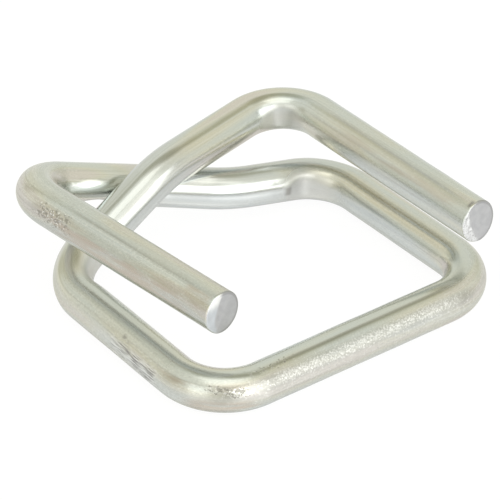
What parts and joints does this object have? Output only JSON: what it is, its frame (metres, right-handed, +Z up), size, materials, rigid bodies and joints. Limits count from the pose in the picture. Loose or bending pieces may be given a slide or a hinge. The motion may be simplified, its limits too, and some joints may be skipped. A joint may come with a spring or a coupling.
{
  "type": "strapping buckle",
  "caption": "Zinc-plated round wire bent into an open frame, its crossed ends folded forward over the sides as prongs that hold looped packaging strap.",
  "frame": {"origin": "under the middle of the buckle's outline, on the surface that it lies on", "axes": "+X along the front bar to the right, +Y from the front bar to the crossed bars, +Z up through the prongs"},
  "size_m": [0.0316, 0.03, 0.01],
  "materials": {
    "zinc_wire": "bright zinc plating, slightly streaked along the wire"
  },
  "bodies": {
    "root": {"bent_wire": "zinc_wire"}
  },
  "joints": []
}
